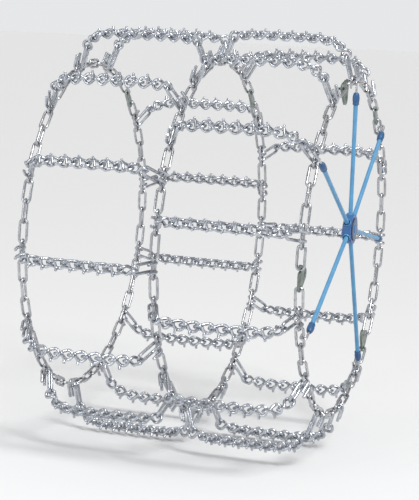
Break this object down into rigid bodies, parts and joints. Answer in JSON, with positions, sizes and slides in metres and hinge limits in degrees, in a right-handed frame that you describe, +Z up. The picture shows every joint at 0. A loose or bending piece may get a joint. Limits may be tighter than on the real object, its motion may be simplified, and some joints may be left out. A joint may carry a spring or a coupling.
{
  "type": "tire snow chains",
  "caption": "Net of steel V-bar cross chains with double hooks for a pair of truck tires, on three side chains with tightening cams and a rubber spider tensioner.",
  "frame": {"origin": "on the wheel axis, midway between the two tires", "axes": "+Y along the wheel axis from the outer tire to the inner tire, +Z up, the outer face of the chain set faces -Y"},
  "size_m": [1.1, 0.752, 1.0982],
  "materials": {
    "side_chain_steel": "bright zinc plated",
    "cross_chain_steel": "bright zinc plated",
    "cam_steel": "dull grey-green plated",
    "plate_hook_steel": "zinc plated",
    "hub_rubber": "dark blue moulded rubber",
    "cap_rubber": "mid blue moulded rubber",
    "arm_rubber": "light blue rubber",
    "boot_rubber": "darker blue rubber",
    "arm_hook_steel": "zinc plated"
  },
  "bodies": {
    "side_chains": {"outer_side_chain": "side_chain_steel", "centre_side_chain": "side_chain_steel", "inner_side_chain": "side_chain_steel"},
    "outer_cross_chain_1": {"outer_cross_chain_1": "cross_chain_steel"},
    "outer_cross_chain_2": {"outer_cross_chain_2": "cross_chain_steel"},
    "outer_cross_chain_3": {"outer_cross_chain_3": "cross_chain_steel"},
    "outer_cross_chain_4": {"outer_cross_chain_4": "cross_chain_steel"},
    "outer_cross_chain_5": {"outer_cross_chain_5": "cross_chain_steel"},
    "outer_cross_chain_6": {"outer_cross_chain_6": "cross_chain_steel"},
    "outer_cross_chain_7": {"outer_cross_chain_7": "cross_chain_steel"},
    "outer_cross_chain_8": {"outer_cross_chain_8": "cross_chain_steel"},
    "outer_cross_chain_9": {"outer_cross_chain_9": "cross_chain_steel"},
    "outer_cross_chain_10": {"outer_cross_chain_10": "cross_chain_steel"},
    "outer_cross_chain_11": {"outer_cross_chain_11": "cross_chain_steel"},
    "outer_cross_chain_12": {"outer_cross_chain_12": "cross_chain_steel"},
    "outer_cross_chain_13": {"outer_cross_chain_13": "cross_chain_steel"},
    "inner_cross_chain_1": {"inner_cross_chain_1": "cross_chain_steel"},
    "inner_cross_chain_2": {"inner_cross_chain_2": "cross_chain_steel"},
    "inner_cross_chain_3": {"inner_cross_chain_3": "cross_chain_steel"},
    "inner_cross_chain_4": {"inner_cross_chain_4": "cross_chain_steel"},
    "inner_cross_chain_5": {"inner_cross_chain_5": "cross_chain_steel"},
    "inner_cross_chain_6": {"inner_cross_chain_6": "cross_chain_steel"},
    "inner_cross_chain_7": {"inner_cross_chain_7": "cross_chain_steel"},
    "inner_cross_chain_8": {"inner_cross_chain_8": "cross_chain_steel"},
    "inner_cross_chain_9": {"inner_cross_chain_9": "cross_chain_steel"},
    "inner_cross_chain_10": {"inner_cross_chain_10": "cross_chain_steel"},
    "inner_cross_chain_11": {"inner_cross_chain_11": "cross_chain_steel"},
    "inner_cross_chain_12": {"inner_cross_chain_12": "cross_chain_steel"},
    "inner_cross_chain_13": {"inner_cross_chain_13": "cross_chain_steel"},
    "cam_1": {"cam_1": "cam_steel"},
    "cam_2": {"cam_2": "cam_steel"},
    "cam_3": {"cam_3": "cam_steel"},
    "outer_chain_hook": {"outer_chain_hook": "plate_hook_steel"},
    "centre_chain_hook": {"centre_chain_hook": "plate_hook_steel"},
    "inner_chain_hook": {"inner_chain_hook": "plate_hook_steel"},
    "spider_centre": {"spider_hub": "hub_rubber", "spider_cap": "cap_rubber"},
    "spider_arm_1": {"spider_arm_1": "arm_rubber", "spider_boot_1": "boot_rubber", "spider_hook_1": "arm_hook_steel"},
    "spider_arm_2": {"spider_arm_2": "arm_rubber", "spider_boot_2": "boot_rubber", "spider_hook_2": "arm_hook_steel"},
    "spider_arm_3": {"spider_arm_3": "arm_rubber", "spider_boot_3": "boot_rubber", "spider_hook_3": "arm_hook_steel"},
    "spider_arm_4": {"spider_arm_4": "arm_rubber", "spider_boot_4": "boot_rubber", "spider_hook_4": "arm_hook_steel"},
    "spider_arm_5": {"spider_arm_5": "arm_rubber", "spider_boot_5": "boot_rubber", "spider_hook_5": "arm_hook_steel"},
    "spider_arm_6": {"spider_arm_6": "arm_rubber", "spider_boot_6": "boot_rubber", "spider_hook_6": "arm_hook_steel"}
  },
  "joints": [
    {"name": "spider_pull", "type": "slide", "parent": "side_chains", "child": "spider_centre", "axis": [0, -1, 0], "range_m": [0, 0.03]},
    {"name": "arm_swing_1", "type": "hinge", "parent": "side_chains", "child": "spider_arm_1", "pos_m": [0, -0.355, 0.4205], "axis": [-1, 0, 0], "range_deg": [0, 5.11]},
    {"name": "arm_swing_2", "type": "hinge", "parent": "side_chains", "child": "spider_arm_2", "pos_m": [-0.33729, -0.355, 0.25111], "axis": [-0.5121, 0, -0.8589], "range_deg": [0, 4.79]},
    {"name": "arm_swing_3", "type": "hinge", "parent": "side_chains", "child": "spider_arm_3", "pos_m": [-0.39483, -0.3645, -0.17031], "axis": [0.4873, 0, -0.8733], "range_deg": [0, 4.12]},
    {"name": "arm_swing_4", "type": "hinge", "parent": "side_chains", "child": "spider_arm_4", "pos_m": [0.23107, -0.355, -0.35132], "axis": [0.8666, 0, 0.499], "range_deg": [0, 4.01]},
    {"name": "arm_swing_5", "type": "hinge", "parent": "side_chains", "child": "spider_arm_5", "pos_m": [0.41979, -0.355, -0.02445], "axis": [0.1746, 0, 0.9846], "range_deg": [0, 4.38]},
    {"name": "arm_swing_6", "type": "hinge", "parent": "side_chains", "child": "spider_arm_6", "pos_m": [0.31277, -0.3645, 0.29508], "axis": [-0.6168, 0, 0.7871], "range_deg": [0, 4.73]},
    {"name": "cam_turn_1", "type": "hinge", "parent": "side_chains", "child": "cam_1", "pos_m": [-0.11974, -0.355, 0.41353], "axis": [0, 1, 0], "range_deg": [0, 90]},
    {"name": "cam_turn_2", "type": "hinge", "parent": "side_chains", "child": "cam_2", "pos_m": [-0.42804, -0.355, -0.04611], "axis": [0, 1, 0], "range_deg": [0, 90]},
    {"name": "cam_turn_3", "type": "hinge", "parent": "side_chains", "child": "cam_3", "pos_m": [0.32728, -0.355, -0.2797], "axis": [0, 1, 0], "range_deg": [0, 90]},
    {"name": "outer_hook_turn", "type": "hinge", "parent": "side_chains", "child": "outer_chain_hook", "pos_m": [0.2602, -0.355, 0.34299], "axis": [0, 1, 0], "range_deg": [0, 60]},
    {"name": "centre_hook_turn", "type": "hinge", "parent": "side_chains", "child": "centre_chain_hook", "pos_m": [0.27695, 0, 0.36549], "axis": [0, 1, 0], "range_deg": [0, 60]},
    {"name": "inner_hook_turn", "type": "hinge", "parent": "side_chains", "child": "inner_chain_hook", "pos_m": [0.2602, 0.355, 0.34299], "axis": [0, 1, 0], "range_deg": [0, 60]},
    {"name": "outer_cross_sway_1", "type": "hinge", "parent": "side_chains", "child": "outer_cross_chain_1", "pos_m": [0.19725, -0.355, 0.39275], "axis": [0.0353, 0.9969, 0.0703], "range_deg": [-5, 5]},
    {"name": "outer_cross_sway_2", "type": "hinge", "parent": "side_chains", "child": "outer_cross_chain_2", "pos_m": [0, -0.355, 0.4395], "axis": [0, 0.9969, 0.0786], "range_deg": [-5, 5]},
    {"name": "outer_cross_sway_3", "type": "hinge", "parent": "side_chains", "child": "outer_cross_chain_3", "pos_m": [-0.19725, -0.355, 0.39275], "axis": [-0.0353, 0.9969, 0.0703], "range_deg": [-5, 5]},
    {"name": "outer_cross_sway_4", "type": "hinge", "parent": "side_chains", "child": "outer_cross_chain_4", "pos_m": [-0.35253, -0.355, 0.26245], "axis": [-0.0631, 0.9969, 0.047], "range_deg": [-5, 5]},
    {"name": "outer_cross_sway_5", "type": "hinge", "parent": "side_chains", "child": "outer_cross_chain_5", "pos_m": [-0.43282, -0.355, 0.07632], "axis": [-0.0774, 0.9969, 0.0137], "range_deg": [-5, 5]},
    {"name": "outer_cross_sway_6", "type": "hinge", "parent": "side_chains", "child": "outer_cross_chain_6", "pos_m": [-0.42104, -0.355, -0.12605], "axis": [-0.0753, 0.9969, -0.0226], "range_deg": [-5, 5]},
    {"name": "outer_cross_sway_7", "type": "hinge", "parent": "side_chains", "child": "outer_cross_chain_7", "pos_m": [-0.31968, -0.355, -0.3016], "axis": [-0.0572, 0.9969, -0.054], "range_deg": [-5, 5]},
    {"name": "outer_cross_sway_8", "type": "hinge", "parent": "side_chains", "child": "outer_cross_chain_8", "pos_m": [-0.15032, -0.355, -0.413], "axis": [-0.0269, 0.9969, -0.0739], "range_deg": [-5, 5]},
    {"name": "outer_cross_sway_9", "type": "hinge", "parent": "side_chains", "child": "outer_cross_chain_9", "pos_m": [0.05102, -0.355, -0.43653], "axis": [0.0091, 0.9969, -0.0781], "range_deg": [-5, 5]},
    {"name": "outer_cross_sway_10", "type": "hinge", "parent": "side_chains", "child": "outer_cross_chain_10", "pos_m": [0.24151, -0.355, -0.3672], "axis": [0.0432, 0.9969, -0.0657], "range_deg": [-5, 5]},
    {"name": "outer_cross_sway_11", "type": "hinge", "parent": "side_chains", "child": "outer_cross_chain_11", "pos_m": [0.38062, -0.355, -0.21975], "axis": [0.0681, 0.9969, -0.0393], "range_deg": [-5, 5]},
    {"name": "outer_cross_sway_12", "type": "hinge", "parent": "side_chains", "child": "outer_cross_chain_12", "pos_m": [0.43876, -0.355, -0.02556], "axis": [0.0785, 0.9969, -0.0046], "range_deg": [-5, 5]},
    {"name": "outer_cross_sway_13", "type": "hinge", "parent": "side_chains", "child": "outer_cross_chain_13", "pos_m": [0.40356, -0.355, 0.17408], "axis": [0.0722, 0.9969, 0.0311], "range_deg": [-5, 5]},
    {"name": "inner_cross_sway_1", "type": "hinge", "parent": "side_chains", "child": "inner_cross_chain_1", "pos_m": [0.10781, 0, 0.4549], "axis": [-0.0181, 0.9969, -0.0765], "range_deg": [-5, 5]},
    {"name": "inner_cross_sway_2", "type": "hinge", "parent": "side_chains", "child": "inner_cross_chain_2", "pos_m": [-0.10781, 0, 0.4549], "axis": [0.0181, 0.9969, -0.0765], "range_deg": [-5, 5]},
    {"name": "inner_cross_sway_3", "type": "hinge", "parent": "side_chains", "child": "inner_cross_chain_3", "pos_m": [-0.3005, 0, 0.35813], "axis": [0.0505, 0.9969, -0.0602], "range_deg": [-5, 5]},
    {"name": "inner_cross_sway_4", "type": "hinge", "parent": "side_chains", "child": "inner_cross_chain_4", "pos_m": [-0.42927, 0, 0.18517], "axis": [0.0722, 0.9969, -0.0311], "range_deg": [-5, 5]},
    {"name": "inner_cross_sway_5", "type": "hinge", "parent": "side_chains", "child": "inner_cross_chain_5", "pos_m": [-0.46671, 0, -0.02718], "axis": [0.0785, 0.9969, 0.0046], "range_deg": [-5, 5]},
    {"name": "inner_cross_sway_6", "type": "hinge", "parent": "side_chains", "child": "inner_cross_chain_6", "pos_m": [-0.40487, 0, -0.23375], "axis": [0.0681, 0.9969, 0.0393], "range_deg": [-5, 5]},
    {"name": "inner_cross_sway_7", "type": "hinge", "parent": "side_chains", "child": "inner_cross_chain_7", "pos_m": [-0.25689, 0, -0.39059], "axis": [0.0432, 0.9969, 0.0657], "range_deg": [-5, 5]},
    {"name": "inner_cross_sway_8", "type": "hinge", "parent": "side_chains", "child": "inner_cross_chain_8", "pos_m": [-0.05427, 0, -0.46434], "axis": [0.0091, 0.9969, 0.0781], "range_deg": [-5, 5]},
    {"name": "inner_cross_sway_9", "type": "hinge", "parent": "side_chains", "child": "inner_cross_chain_9", "pos_m": [0.15989, 0, -0.43931], "axis": [-0.0269, 0.9969, 0.0739], "range_deg": [-5, 5]},
    {"name": "inner_cross_sway_10", "type": "hinge", "parent": "side_chains", "child": "inner_cross_chain_10", "pos_m": [0.34005, 0, -0.32082], "axis": [-0.0572, 0.9969, 0.054], "range_deg": [-5, 5]},
    {"name": "inner_cross_sway_11", "type": "hinge", "parent": "side_chains", "child": "inner_cross_chain_11", "pos_m": [0.44786, 0, -0.13408], "axis": [-0.0753, 0.9969, 0.0226], "range_deg": [-5, 5]},
    {"name": "inner_cross_sway_12", "type": "hinge", "parent": "side_chains", "child": "inner_cross_chain_12", "pos_m": [0.4604, 0, 0.08118], "axis": [-0.0774, 0.9969, -0.0137], "range_deg": [-5, 5]},
    {"name": "inner_cross_sway_13", "type": "hinge", "parent": "side_chains", "child": "inner_cross_chain_13", "pos_m": [0.37499, 0, 0.27917], "axis": [-0.0631, 0.9969, -0.047], "range_deg": [-5, 5]}
  ],
  "couplings": [
    {"joint": "arm_swing_1", "follows": "spider_pull", "rad_per_m": 2.9626},
    {"joint": "arm_swing_2", "follows": "spider_pull", "rad_per_m": 2.7798},
    {"joint": "arm_swing_3", "follows": "spider_pull", "rad_per_m": 2.3857},
    {"joint": "arm_swing_4", "follows": "spider_pull", "rad_per_m": 2.3249},
    {"joint": "arm_swing_5", "follows": "spider_pull", "rad_per_m": 2.5421},
    {"joint": "arm_swing_6", "follows": "spider_pull", "rad_per_m": 2.7444}
  ]
}
